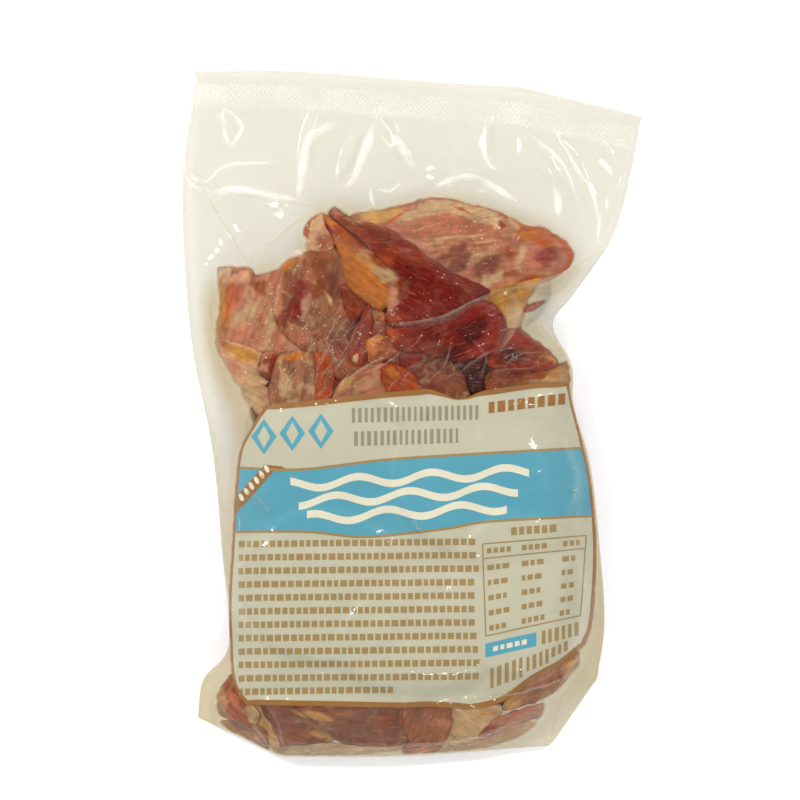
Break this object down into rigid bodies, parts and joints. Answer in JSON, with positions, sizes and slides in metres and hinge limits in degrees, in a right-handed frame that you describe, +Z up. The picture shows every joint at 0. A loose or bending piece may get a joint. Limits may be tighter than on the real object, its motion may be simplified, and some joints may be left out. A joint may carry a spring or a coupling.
{
  "type": "vacuum bag of ham offcuts",
  "caption": "Clear vacuum bag filled with smoked ham and bacon offcuts, lying on its back, with a heat seal at its open end and a printed panel on its front film.",
  "frame": {"origin": "on the table, under the middle of the bag's bounding box", "axes": "+Y from the closed end towards the heat seal at the open end, +Z up through the front film, +X to the right of someone who faces the printed panel"},
  "size_m": [0.1654, 0.2474, 0.0295],
  "materials": {
    "film": "clear glossy nylon and polyethylene film, slightly milky where it is empty",
    "offcuts": "moist cured and smoked pork, red lean with cream fat and amber rind",
    "print": "satin ink on the film, cream with blue and brown fields"
  },
  "bodies": {
    "root": {"bag": "film"}
  },
  "joints": []
}
